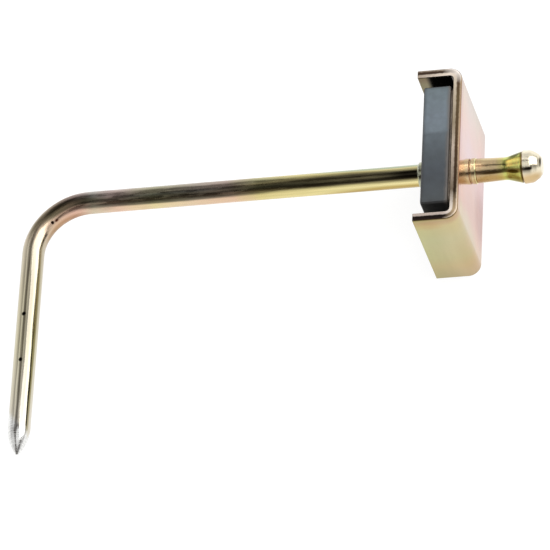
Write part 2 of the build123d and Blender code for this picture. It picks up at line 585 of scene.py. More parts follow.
@dataclass(frozen=True)
class DrawnBarZinc(Zinc):
    """The plating of the drawn bar, with a dull bend, some pits and the bare ground point.

    The film and the zinc are rubbed off the ground point, which shows grey steel with grinding
    marks across it.
    """

    dull_from: float = 74.0  # mm from the tip, where the marks of the tool that bent it start
    dull_rise: float = 20.0  # mm over which they come up
    dull_until: float = 105.0  # from here they fade towards the head
    bright_from: float = 235.0
    dullness: float = 1.6  # how much rougher the scuffed stretch is
    rubs: Triple = (0.12, 0.7, 0.7)  # scuffs per mm, which are long along the bar
    rubbed: tuple[float, float] = (0.47, 0.62)  # values of their pattern that leave a scuff
    scuff: float = 0.26  # roughness that a scuff adds
    dent: float = 0.12  # mm of depth of the tool's marks
    bare_until: float = 11.5  # mm from the tip
    bare_slant: float = 1.0  # mm further per mm towards the outside of the hook
    bare_fray: float = 9.0  # mm that the lines pull the border out
    bare_edge: float = 1.5  # mm to each side of the border, over which the film fades
    marks: Triple = (2.5, 0.25, 0.25)  # grinding marks per mm, drawn coarse to show
    steel: Stops = ((0.3, "D8D8D6"), (0.7, "FAFAF8"))
    steel_gloss: tuple[float, float] = (0.17, 0.3)  # roughness of the ground steel

    def dress(self, layers: Layers) -> None:
        """Scuffs the bend and the handle beside it, and bares the point.

        Args:
            layers: The layers so far, whose gloss, relief and tint are changed.
        """
        tree, along = layers.tree, layers.axes[0]
        fading = add_node(
            tree, "ShaderNodeMapRange",
            {
                "Value": along, "From Min": self.dull_until, "From Max": self.bright_from,
                "To Min": 1.0, "To Max": 0.0,
            },
        )
        rising = add_node(
            tree, "ShaderNodeMapRange",
            {
                "Value": along, "From Min": self.dull_from,
                "From Max": self.dull_from + self.dull_rise,
            },
        )
        worn = add_node(
            tree, "ShaderNodeMath", {0: rising.outputs[0], 1: fading.outputs[0]},
            operation="MINIMUM",
        ).outputs[0]
        duller = add_node(
            tree, "ShaderNodeMapRange", {"Value": worn, "To Min": 1.0, "To Max": self.dullness},
        )
        stretched = add_node(
            tree, "ShaderNodeVectorMath", {0: layers.place, 1: self.rubs}, operation="MULTIPLY",
        )
        rubs = add_node(
            tree, "ShaderNodeTexNoise",
            {"Vector": stretched.outputs[0], "Scale": 1.0, "Detail": 2.0},
        ).outputs["Fac"]
        low, high = self.rubbed
        scuffs = add_node(
            tree, "ShaderNodeMapRange",
            {"Value": rubs, "From Min": low, "From Max": high, "To Min": 0.0, "To Max": self.scuff},
        )
        added = add_node(
            tree, "ShaderNodeMath", {0: scuffs.outputs[0], 1: worn}, operation="MULTIPLY",
        )
        gloss = add_node(
            tree, "ShaderNodeMath",
            {0: layers.gloss, 1: duller.outputs[0], 2: added.outputs[0]},
            operation="MULTIPLY_ADD",
        )
        pressed = add_node(tree, "ShaderNodeMath", {0: rubs, 1: worn}, operation="MULTIPLY")
        relief = add_node(
            tree, "ShaderNodeMath", {0: pressed.outputs[0], 1: self.dent, 2: layers.relief},
            operation="MULTIPLY_ADD",
        )
        layers.gloss, layers.relief = gloss.outputs[0], relief.outputs[0]
        self.grind(layers)

    def grind(self, layers: Layers) -> None:
        """Mixes in the bare steel of the point, up to a slanting, frayed border.

        Args:
            layers: The layers so far, whose tint and gloss are changed.
        """
        tree, axes = layers.tree, layers.axes
        slanted = add_node(
            tree, "ShaderNodeMath", {0: axes[1], 1: -self.bare_slant, 2: axes[0]},
            operation="MULTIPLY_ADD",
        )
        frayed = add_node(
            tree, "ShaderNodeMath", {0: layers.lines, 1: self.bare_fray, 2: slanted.outputs[0]},
            operation="MULTIPLY_ADD",
        )
        middle = self.bare_until + self.bare_fray / 2
        bare = add_node(
            tree, "ShaderNodeMapRange",
            {
                "Value": frayed.outputs[0], "From Min": middle - self.bare_edge,
                "From Max": middle + self.bare_edge, "To Min": 1.0, "To Max": 0.0,
            },
        ).outputs[0]
        across = add_node(
            tree, "ShaderNodeVectorMath", {0: layers.place, 1: self.marks}, operation="MULTIPLY",
        )
        marks = add_node(
            tree, "ShaderNodeTexNoise", {"Vector": across.outputs[0], "Scale": 1.0, "Detail": 3.0},
        ).outputs["Fac"]
        steel = add_node(tree, "ShaderNodeValToRGB", {"Fac": marks}, self.steel)
        mixed = add_node(
            tree, "ShaderNodeMix", {"Factor": bare, 6: layers.tint, 7: steel.outputs[0]},
            data_type="RGBA",
        )
        low, high = self.steel_gloss
        duller = add_node(
            tree, "ShaderNodeMapRange", {"Value": marks, **NOISE, "To Min": low, "To Max": high},
        )
        gloss = add_node(
            tree, "ShaderNodeMix", {"Factor": bare, 2: layers.gloss, 3: duller.outputs[0]},
            data_type="FLOAT",
        )
        layers.tint, layers.gloss = mixed.outputs[2], gloss.outputs[0]


@dataclass(frozen=True)
class BentSheetZinc(Zinc):
    """The bent sheet's plating: tints over its height, and painted shade at its end edge and
    inside.
    """

    rim_tint_and_shade: Stops = ((0, "FFFFFF"), (41, "FFFFFF"))  # tint and painted shade over the height, in mm
    whole_run: float = 84.42  # mm round the section
    inner_depth: float = -1.45  # carried depth of the inner face
    inner_edge: float = 0.1  # mm over which the inner face's painted shade ends
    shaded_from: float = 2.6  # mm from a pole face, where the deeper painted shade behind the block starts
    shade_edge: float = 1.2  # mm over which it comes up
    stain_and_shade: float = 0.1  # share of the light that the painted shade there leaves
    inner_shade: float = 0.5  # the same for the inner face before it, also painted shade

    def dress(self, layers: Layers) -> None:
        """Tints the sheet over its height, and paints shade on its end edge and inner faces.

        Args:
            layers: The layers so far, whose tint is changed.
        """
        tree, (run, height, depth) = layers.tree, layers.axes
        share = add_node(
            tree, "ShaderNodeMath", {0: height, 1: self.rim_tint_and_shade[-1][0]}, operation="DIVIDE",
        )
        rim_tint_and_shade = add_node(tree, "ShaderNodeValToRGB", {"Fac": share.outputs[0]}, shares(self.rim_tint_and_shade))
        rim_tinted_and_shaded = add_node(
            tree, "ShaderNodeVectorMath", {0: layers.tint, 1: rim_tint_and_shade.outputs[0]},
            operation="MULTIPLY",
        )
        to_pole = add_node(
            tree, "ShaderNodeMath", {0: run, 1: self.whole_run / 2}, operation="PINGPONG",
        )
        stained_and_shaded = add_node(
            tree, "ShaderNodeMapRange",
            {
                "Value": to_pole.outputs[0], "From Min": self.shaded_from,
                "From Max": self.shaded_from + self.shade_edge,
                "To Min": self.inner_shade, "To Max": self.stain_and_shade,
            },
        )
        outside = add_node(
            tree, "ShaderNodeMapRange",
            {
                "Value": depth, "From Min": self.inner_depth,
                "From Max": self.inner_depth + self.inner_edge,
            },
        )
        shade = add_node(
            tree, "ShaderNodeMix", {"Factor": outside.outputs[0], 2: stained_and_shaded.outputs[0], 3: 1.0},
            data_type="FLOAT",
        )
        dark = add_node(
            tree, "ShaderNodeVectorMath", {0: rim_tinted_and_shaded.outputs[0], "Scale": shade.outputs[0]},
            operation="SCALE",
        )
        layers.tint = dark.outputs[0]


@dataclass(frozen=True)
class ShearedEdge:
    """The cut edge of the sheet: a rubbed strip, a torn strip and a burr under one thin film.

    A press tool shears about a third of the thickness smoothly and tears the rest, and the torn
    strip is rough and takes a dark film. The three tints run round the section, in mm. Round the
    two bends all three turn nearly white: partly burnished metal, partly a painted highlight for
    the glint on the rounded corners.
    """

    name: str = "sheared_steel_edge_yellow_passivated"
    inner: float = -1.5  # mm from the middle of the sheet
    outer: float = 1.5
    torn_from: float = -0.3  # between these the sheet tore
    torn_until: float = 0.8
    blur: float = 0.06  # share of the thickness over which one strip goes into the next
    lip: Stops = ((0.4, "000000"), (0.7, "FFFFFF"))  # share of the burr across the edge
    grit: float = 1.2  # tears per mm
    ragged: float = 0.5  # mm that the strips' borders wander
    relief: float = 0.15  # mm of depth of the tears
    roughness: float = 0.5
    metallic: float = 0.3  # the film in the tears hides most of the metal
    specular: float = 0.2
    # light stops at about 12 to 14 and 69.5 mm: burnish plus a painted glint round the bends
    torn: Stops = (
        (0, "3E2E22"), (9, "3E2E22"), (14, "E0D6CC"), (18, "54402E"), (24, "5E4E34"),
        (44, "4A3624"), (62, "2A1C0C"), (69.5, "B09878"), (73, "140804"),
    )
    rubbed: Stops = (  # on the inside
        (0, "A89A8A"), (12, "E4D6C8"), (18, "C4B6A2"), (24, "B8AA94"), (34, "94866F"),
        (44, "BAAA9A"), (61, "706252"), (69.5, "E8DCD0"), (74, "B8AAA0"),
    )
    burr: Stops = (  # on the outside
        (0, "8A7A6A"), (9, "9A8C7C"), (14, "FFF8F2"), (18, "A49076"), (24, "A08C70"),
        (44, "B89E80"), (57, "84725A"), (69.5, "F0DCC4"), (74, "20120C"),
    )

    def material(self) -> Material:
        """Builds the material.

        Returns:
            The material.
        """
        finish, tree = new_tree(self.name)
        place = add_node(tree, "ShaderNodeAttribute", attribute_name=CARRIED).outputs["Vector"]
        axes = add_node(tree, "ShaderNodeSeparateXYZ", {0: place}).outputs
        tears = add_node(
            tree, "ShaderNodeTexNoise", {"Vector": place, "Scale": self.grit, "Detail": 3.0},
        ).outputs["Fac"]
        depth = add_node(
            tree, "ShaderNodeMath", {0: tears, 1: self.ragged, 2: axes[2]},
            operation="MULTIPLY_ADD",
        )
        share = add_node(
            tree, "ShaderNodeMapRange",
            {
                "Value": depth.outputs[0], "From Min": self.inner + self.ragged / 2,
                "From Max": self.outer + self.ragged / 2,
            },
        ).outputs[0]
        width, blur = self.outer - self.inner, self.blur
        first = (self.torn_from - self.inner) / width
        second = (self.torn_until - self.inner) / width
        smooth_or_torn = add_node(
            tree, "ShaderNodeValToRGB", {"Fac": share},
            [
                (first - blur, "FFFFFF"), (first + blur, "000000"),
                (second - blur, "000000"), (second + blur, "FFFFFF"),
            ],
        )
        lip = add_node(tree, "ShaderNodeValToRGB", {"Fac": share}, self.lip)
        tints = []
        for stops in (self.rubbed, self.burr, self.torn):
            run = add_node(
                tree, "ShaderNodeMath", {0: axes[0], 1: stops[-1][0]}, operation="DIVIDE",
            )
            ramp = add_node(tree, "ShaderNodeValToRGB", {"Fac": run.outputs[0]}, shares(stops))
            tints.append(ramp.outputs[0])
        rubbed, burr, torn = tints
        sheared = add_node(
            tree, "ShaderNodeMix", {"Factor": lip.outputs[0], 6: rubbed, 7: burr},
            data_type="RGBA",
        )
        tint = add_node(
            tree, "ShaderNodeMix",
            {"Factor": smooth_or_torn.outputs[0], 6: torn, 7: sheared.outputs[2]},
            data_type="RGBA",
        )
        bump = add_node(tree, "ShaderNodeBump", {"Height": tears, "Distance": self.relief * MM})
        shader = add_node(
            tree, "ShaderNodeBsdfPrincipled",
            {
                "Base Color": tint.outputs[2], "Roughness": self.roughness,
                "Normal": bump.outputs[0], "Metallic": self.metallic,
                "Specular IOR Level": self.specular,
            },
        )
        add_node(tree, "ShaderNodeOutputMaterial", {"Surface": shader.outputs[0]})
        return finish


@dataclass(frozen=True)
class SinteredFerrite:
    """Pressed and sintered ferrite: a dense grey ceramic with a fine mottle.

    Its two end faces are ground, which makes them a satin slate grey. The faces that are left
    as they came from the furnace are dark, and nearly black here: partly their own tone, partly
    painted shade for the sides that lie in the narrow gaps inside the channel.
    """

    name: str = "sintered_ferrite_ground_ends"
    tones: Stops = (
        (-23, "2C3438"), (-12, "262F38"), (-3, "364047"), (4.0, "455058"), (5.2, "5A666F"),
        (11, "606C76"), (23, "56646A"),
    )  # place across the block in mm, and tone there
    # near black: the pressed skin's own dark plus painted shade for the sides in the gaps
    pressed: str = "08090A"
    half_length: float = 20.5
    ground_from: float = 0.25  # mm short of the end, where the ground face starts to show
    ground_full: float = 0.05  # and where it is whole
    front: float = -13.5 # mm, the face that looks to the hook, where the block's edge is darker
    front_edge: float = 1.5  # mm over which it clears
    front_shade: float = 0.25  # share of the light that it gives back
    mottle: float = 3.0  # mm
    mottled: tuple[float, float] = (0.82, 1.16)  # how much the mottle darkens and lightens
    grain: float = 0.3  # mm, drawn coarser than the real 0.01 mm so that it shows
    relief: float = 0.03  # mm of depth of the grain
    ground_gloss: float = 0.45  # roughness of the end faces
    pressed_gloss: float = 0.7
    refraction: float = 1.9
    glue: str = "554C44"  # adhesive wiped over the edge by the plate
    glue_from: float = -4.6  # mm, where it starts
    glue_full: float = -3.4
    glue_cover: float = 0.75
    glue_ragged: float = 1.6  # mm that its border wanders

    def material(self) -> Material:
        """Builds the material.

        Returns:
            The material.
        """
        finish, tree = new_tree(self.name)
        place = add_node(tree, "ShaderNodeAttribute", attribute_name=CARRIED).outputs["Vector"]
        axes = add_node(tree, "ShaderNodeSeparateXYZ", {0: place}).outputs
        patches = add_node(
            tree, "ShaderNodeTexNoise", {"Vector": place, "Scale": 1 / self.mottle, "Detail": 4.0},
        ).outputs["Fac"]
        along = add_node(tree, "ShaderNodeMath", {0: axes[2]}, operation="ABSOLUTE")
        end = add_node(
            tree, "ShaderNodeMapRange",
            {
                "Value": along.outputs[0], "From Min": self.half_length - self.ground_from,
                "From Max": self.half_length - self.ground_full,
            },
        ).outputs[0]
        bare = self.bare(tree, axes, patches, end)
        back = add_node(
            tree, "ShaderNodeMath", {0: patches, 1: self.glue_ragged, 2: axes[0]},
            operation="MULTIPLY_ADD",
        )
        glued = add_node(
            tree, "ShaderNodeMapRange",
            {
                "Value": back.outputs[0], "From Min": self.glue_from,
                "From Max": self.glue_full, "To Max": self.glue_cover,
            },
        )
        tone = add_node(
            tree, "ShaderNodeMix", {"Factor": glued.outputs[0], 6: bare, 7: colour(self.glue)},
            data_type="RGBA",
        )
        specks = add_node(
            tree, "ShaderNodeTexNoise", {"Vector": place, "Scale": 1 / self.grain, "Detail": 2.0},
        )
        bump = add_node(
            tree, "ShaderNodeBump",
            {"Height": specks.outputs["Fac"], "Distance": self.relief * MM},
        )
        gloss = add_node(
            tree, "ShaderNodeMapRange",
            {"Value": end, "To Min": self.pressed_gloss, "To Max": self.ground_gloss},
        )
        shader = add_node(
            tree, "ShaderNodeBsdfPrincipled",
            {
                "Base Color": tone.outputs[2], "Roughness": gloss.outputs[0],
                "Normal": bump.outputs[0], "IOR": self.refraction,
            },
        )
        add_node(tree, "ShaderNodeOutputMaterial", {"Surface": shader.outputs[0]})
        return finish

    def bare(self, tree: Tree, axes: Any, patches: Socket, end: Socket) -> Socket:
        """The tone of the block itself: ground or as pressed, mottled, and darker in front.

        Args:
            tree: The material's tree.
            axes: Carried coordinates, split in three.
            patches: Pattern of the mottle.
            end: 1 on the ground end faces and 0 elsewhere.

        Returns:
            The tone.
        """
        low, high = self.tones[0][0], self.tones[-1][0]
        share = add_node(
            tree, "ShaderNodeMapRange", {"Value": axes[1], "From Min": low, "From Max": high},
        )
        ground = add_node(
            tree, "ShaderNodeValToRGB", {"Fac": share.outputs[0]}, shares(self.tones),
        )
        darkest, lightest = self.mottled
        uneven = add_node(
            tree, "ShaderNodeMapRange",
            {"Value": patches, **NOISE, "To Min": darkest, "To Max": lightest},
        )
        mottled = add_node(
            tree, "ShaderNodeVectorMath", {0: ground.outputs[0], "Scale": uneven.outputs[0]},
            operation="SCALE",
        )
        tone = add_node(
            tree, "ShaderNodeMix",
            {"Factor": end, 6: colour(self.pressed), 7: mottled.outputs[0]}, data_type="RGBA",
        )
        edge = add_node(
            tree, "ShaderNodeMapRange",
            {
                "Value": axes[0], "From Min": self.front, "From Max": self.front + self.front_edge,
                "To Min": self.front_shade, "To Max": 1.0,
            },
        )
        shaded = add_node(
            tree, "ShaderNodeVectorMath", {0: tone.outputs[2], "Scale": edge.outputs[0]},
            operation="SCALE",
        )
        return shaded.outputs[0]


@dataclass(frozen=True)
class CuredEpoxy:
    """Filled epoxy, squeezed out and cured: a smooth dark brown with low lumps."""

    name: str = "filled_epoxy_bed"
    tones: Stops = ((0.3, "5A5046"), (0.8, "7A6E60"))
    roughness: float = 0.42
    lumps: float = 0.8  # per mm
    relief: float = 0.2  # mm of depth of the lumps

    def material(self) -> Material:
        """Builds the material.

        Returns:
            The material.
        """
        finish, tree = new_tree(self.name)
        place = add_node(tree, "ShaderNodeAttribute", attribute_name=CARRIED).outputs["Vector"]
        lumps = add_node(
            tree, "ShaderNodeTexNoise", {"Vector": place, "Scale": self.lumps, "Detail": 3.0},
        ).outputs["Fac"]
        tone = add_node(tree, "ShaderNodeValToRGB", {"Fac": lumps}, self.tones)
        bump = add_node(tree, "ShaderNodeBump", {"Height": lumps, "Distance": self.relief * MM})
        shader = add_node(
            tree, "ShaderNodeBsdfPrincipled",
            {
                "Base Color": tone.outputs[0], "Roughness": self.roughness,
                "Normal": bump.outputs[0],
            },
        )
        add_node(tree, "ShaderNodeOutputMaterial", {"Surface": shader.outputs[0]})
        return finish


# ---------------------------------------------------------------- the pick


@dataclass
class PickBar:
    """The bent bar: ground point, leg, bend, handle and spigot. Sizes are in millimetres."""

    swivel_height: float = 20.5
    radius: float = 4.0
    leg_x: float = -159.0
    leg_length: float = 100.0
    bend_radius: float = 20.0
    shoulder_x: float = 0.2
    spigot_radius: float = 2.9
    spigot_length: float = 18.8
    spigot_lead_in: float = 0.4
    point_length: float = 11.0
    land_radius: float = 0.45  # of the blunt tip
    tip_round: float = 0.25
    longest_run: float = 1.2  # between two rows of the mesh
    sides: int = 72

    @property
    def bend_start(self) -> float:
        """Distance from the tip to the bend."""
        return self.leg_length - self.bend_radius

    @property
    def shoulder(self) -> float:
        """Distance from the tip to the shoulder, along the centre line."""
        straight = self.shoulder_x - self.leg_x - self.bend_radius
        return self.bend_start + QUARTER * self.bend_radius + straight

    def centre_line(self, run: np.ndarray) -> tuple[np.ndarray, np.ndarray]:
        """The centre line at distances from the tip: up the leg, a quarter turn, then along X.

        The turn grows from 0 to a right angle over the bend, and the line is the bend's centre
        plus its radius times (-cos, sin) of the turn, with the two straight runs added.

        Args:
            run: Distances from the tip.

        Returns:
            Points of the line, and the unit vectors that point out of the bend.
        """
        turn = np.clip((run - self.bend_start) / self.bend_radius, 0, QUARTER)
        past = np.maximum(run - self.bend_start - QUARTER * self.bend_radius, 0)
        short = np.minimum(run - self.bend_start, 0)
        x = self.leg_x + self.bend_radius * (1 - np.cos(turn)) + past
        y = -self.bend_radius * (1 - np.sin(turn)) + short
        z = np.full_like(x, self.swivel_height)
        out = np.stack([-np.cos(turn), np.sin(turn), np.zeros_like(turn)], axis=-1)
        return np.stack([x, y, z], axis=-1), out

    def outline(self) -> np.ndarray:
        """Distance from the tip and radius: a blunt ogive, the plain bar and the spigot.

        The ogive is an arc that leaves the bar's side along it, of radius R with
        R = (length squared + drop squared) / (2 drop). The rounded tip takes the place of its
        first few points.

        Returns:
            The outline's points, n by 2.
        """
        drop = self.radius - self.land_radius
        arc = (self.point_length**2 + drop**2) / (2 * drop)
        lean = np.linspace(math.asin(self.point_length / arc), 0, 24)
        along = self.point_length - arc * np.sin(lean)
        ogive = np.stack([along, self.radius - arc * (1 - np.cos(lean))], axis=-1)
        kept = 4  # number of the first of the ogive's points that the tip leaves as it is
        land =[(0, 0, 0), (0, self.land_radius, self.tip_round), (*ogive[kept], 0)]
        tip = rounded(land, steps=6, support=0.0)
        # from a little past the ogive to a little short of the shoulder
        plain = np.linspace(self.point_length + 2, self.shoulder - 0.5, 90)
        plain = np.stack([plain, np.full_like(plain, self.radius)], axis=-1)
        end = self.shoulder + self.spigot_length
        spigot = np.array([
            (self.shoulder, self.radius), (self.shoulder, self.spigot_radius),
            (end - self.spigot_lead_in, self.spigot_radius),
            (end, self.spigot_radius - self.spigot_lead_in), (end, 0),
        ])
        return np.concatenate([tip[:-1], ogive[kept:], plain, spigot])

    def surface(self) -> Surface:
        """The outline carried along the centre line: p = c + r (cos t out + sin t up).

        The carried coordinates are the distance from the tip, r cos t and r sin t.

        Returns:
            The closed surface.
        """
        outline = divided(self.outline(), self.longest_run)
        line, out = self.centre_line(outline[:, 0])
        turn = np.linspace(0, 2 * math.pi, self.sides, endpoint=False)
        along = np.repeat(outline[:, :1], self.sides, axis=1)
        outward = outline[:, 1:] * np.cos(turn)
        upward = outline[:, 1:] * np.sin(turn)
        points = line[:, None] + outward[..., None] * out[:, None]
        points[..., 2] += upward
        return woven(points, np.stack([along, outward, upward], axis=-1))

    def build(self) -> None:
        """Makes the bar and dresses it."""
        finish = DrawnBarZinc(
            name="zinc_plated_drawn_bar_yellow_passivated",
            film=(
                (14, "D2CBBB"), (42, "CBC4A8"), (62, "C6BDA3"), (82, "C8BEA8"), (96, "E4C2A8"),
                (105, "DCB4A0"), (113, "CEC0A6"), (123, "E0BEA6"), (135, "DCCD9C"),
                (148, "E0C8A8"), (164, "E0BFA2"), (174, "DACB8C"), (226, "ECDFA4"),
            ),
            streak=0.12, groove=0.045, ripple=(26.0, 2.6, 2.6), waviness=0.2, roughness=0.13,
            stains_and_shades=(
                # the bend: painted reflection and shade, greyer outside and on top, darker inside
                StainAndShade((97, 1.6, 3.6), (16, 3.2, 3.0), "B4B8AC", 0.4),
                StainAndShade((103, -0.9, 4.0), (16, 2.4, 3.0), "848C82", 0.45),
                StainAndShade((97, -3.9, -0.6), (17, 2.2, 2.8), "D2C8B6", 0.4),
                # beside the bend: painted reflection, bluer on the back and darker bands in front
                StainAndShade((140, 1.4, 3.6), (55, 3.4, 3.0), "CCD6EC", 0.6),
                StainAndShade((140, -3.1, 2.55), (50, 1.15, 1.25), "8C9294", 0.4),
                StainAndShade((150, -1.5, 3.6), (62, 1.7, 1.3), "9AA2A8", 0.4),
                # by the head: painted reflection and shade, bluer back, darker top and front
                StainAndShade((222, 3.0, 2.6), (42, 2.2, 2.2), "C4DCFF", 0.5),
                StainAndShade((208, -1.2, 3.7), (46, 2.3, 1.9), "92929C", 0.6),
                StainAndShade((236, -1.2, 3.7), (22, 2.2, 1.8), "5A585C", 0.4),
                StainAndShade((224, -3.9, -0.8), (34, 2.4, 2.8), "CCBC98", 0.4),
                # the leg: painted reflection, a dark olive side line and a dimmed top highlight
                StainAndShade((42, -3.5, 2.0), (64, 1.0, 1.1), "B4B08C", 0.3),
                StainAndShade((42, -1.6, 3.7), (52, 1.3, 1.3), "DCDCE4", 0.5),
                # pits
                StainAndShade((54.3, 0.43, 3.98), (1.0, 1.0, 1.0), "080806", 0.55),
                StainAndShade((35.9, 0.3, 3.99), (1.0, 0.9, 0.9), "080806", 0.55),
                StainAndShade((94.5, -2.81, 2.85), (0.9, 0.9, 0.9), "201008", 0.5),
                StainAndShade((96.5, -3.1, 2.5), (1.2, 0.7, 0.7), "70402A", 0.3),
            ),
        )
        piece = make_piece("pick_bar", self.surface(), [finish.material()])
        seat(piece, Body.PICK, "pick_rod")


@dataclass
class TurnedFittings:
    """The pieces on the bar beside the head: stop collar, thrust ring and knob."""

    swivel_height: float = 20.5
    bar_bore: float = 3.99
    spigot_bore: float = 2.89
    collar_start: float = -18.7
    collar_end: float = -13.7
    collar_radius: float = 4.7
    collar_chamfer: float = 0.5
    collar_break: float = 0.12  # rounding of its edges
    ring_start: float = 0.2
    ring_end: float = 2.0
    ring_radius: float = 4.6
    ring_break: float = 0.3
    knob_end: float = 25.2
    knob_bore_end: float = 19.8
    groove_x: float = 18.5
    groove_width: float = 0.8
    groove_radius: float = 5.3
    longest_run: float = 0.8  # between two rows of a mesh

    def collar(self) -> np.ndarray:
        """Section of the stop collar, with a broad chamfer towards the point.

        Returns:
            The section's points, n by 2.
        """
        cut, edge = self.collar_chamfer, self.collar_break
        return rounded([
            (self.collar_start, self.bar_bore, 0),
            (self.collar_start, self.collar_radius - cut, edge),
            (self.collar_start + cut, self.collar_radius, edge),
            (self.collar_end, self.collar_radius, edge),
            (self.collar_end, self.bar_bore, 0),
        ], steps=5)

    def ring(self) -> np.ndarray:
        """Section of the thrust ring, with both outer edges broken.

        Returns:
            The section's points, n by 2.
        """
        return rounded([
            (self.ring_start, self.spigot_bore, 0),
            (self.ring_start, self.ring_radius, self.ring_break),
            (self.ring_end, self.ring_radius, self.ring_break),
            (self.ring_end, self.spigot_bore, 0),
        ], steps=6)

    def knob(self) -> np.ndarray:
        """Outline of the knob from the end face round to the bottom of its blind bore.

        A fine groove parts the flare from the rounded crown.

        Returns:
            The outline's points, n by 2.
        """
        half = self.groove_width / 2
        return rounded([
            (self.knob_end, 0, 0), (self.knob_end, 3.0, 1.0), (24.0, 4.35, 2.0),
            (21.9, 5.7, 2.5), (self.groove_x + half, 5.95, 0.3),
            (self.groove_x, self.groove_radius, 0.1), (self.groove_x - half, 5.55, 0.12),
            (12.7, 4.0, 7.0), (self.ring_end, 4.4, 0.25), (self.ring_end, self.spigot_bore, 0),
            (self.knob_bore_end, self.spigot_bore, 0), (self.knob_bore_end, 0, 0),
        ], steps=14)

    def build(self) -> None:
        """Makes the three pieces and dresses them."""
        plating = Zinc(
            name="zinc_plated_turned_steel_yellow_passivated",
            film=(
                (-19, "B4B6A0"), (-13, "B4B6A0"), (0, "E4DBAE"), (1.9, "E9E2B0"),
                (2.4, "DCC79C"), (9, "D9C297"), (11.5, "D8CC84"), (12.6, "D8DE80"),
                # dark olive from 18.2 to 18.8 mm: painted shade in the groove
                (17.9, "DEE688"), (18.2, "8C7E40"), (18.8, "8C7E40"), (19.1, "FCF2D8"),
                (25, "ECE2C8"),
            ),
            drift=0.15, cloud=5.0, grain=(25.0, 0.1, 0.1), streak=0.06, groove=0.02,
            ripple=(2.5, 2.5, 2.5), waviness=0.04, roughness=0.13,
            stains_and_shades=(
                # a painted dark reflection line along the neck, over the flare and the crown
                StainAndShade((8.0, -3.0, 2.9), (8.0, 0.75, 0.7), "8A7A5C", 0.3),
                StainAndShade((15.4, -3.4, 3.4), (6.6, 1.0, 0.85), "6E5E38", 0.5),
                StainAndShade((22.2, -3.6, 4.7), (4.2, 0.8, 0.75), "4A4038", 0.4),
                # a painted dark reflection on the flare's back, and darker on the upper end face
                StainAndShade((16.0, 2.7, 4.2), (4.2, 2.0, 1.6), "6E6838", 0.35),
                StainAndShade((25.1, 0.0, 3.0), (0.8, 2.8, 1.7), "4A4430"),
                # and browner and darker on its front side: painted shade
                StainAndShade((7, -4.0, 0.6), (9, 2.6, 2.8), "D2C2A2", 0.4),
                StainAndShade((15.5, -4.7, 0.6), (4.2, 3.0, 3.2), "B4A890", 0.4),
                StainAndShade((21.0, -5.2, -0.4), (7.0, 4.2, 5.0), "D8C4A6", 0.45),
            ),
        ).material()
        sections = {
            "stop_collar": (self.collar(), True), "thrust_ring": (self.ring(), True),
            "knob": (self.knob(), False),
        }
        for name, (outline, closed) in sections.items():
            shape = turned(divided(outline, self.longest_run), self.swivel_height, closed)
            piece = make_piece(f"turned_{name}", shape, [plating])
            seat(piece, Body.PICK, name)


# ---------------------------------------------------------------- the head


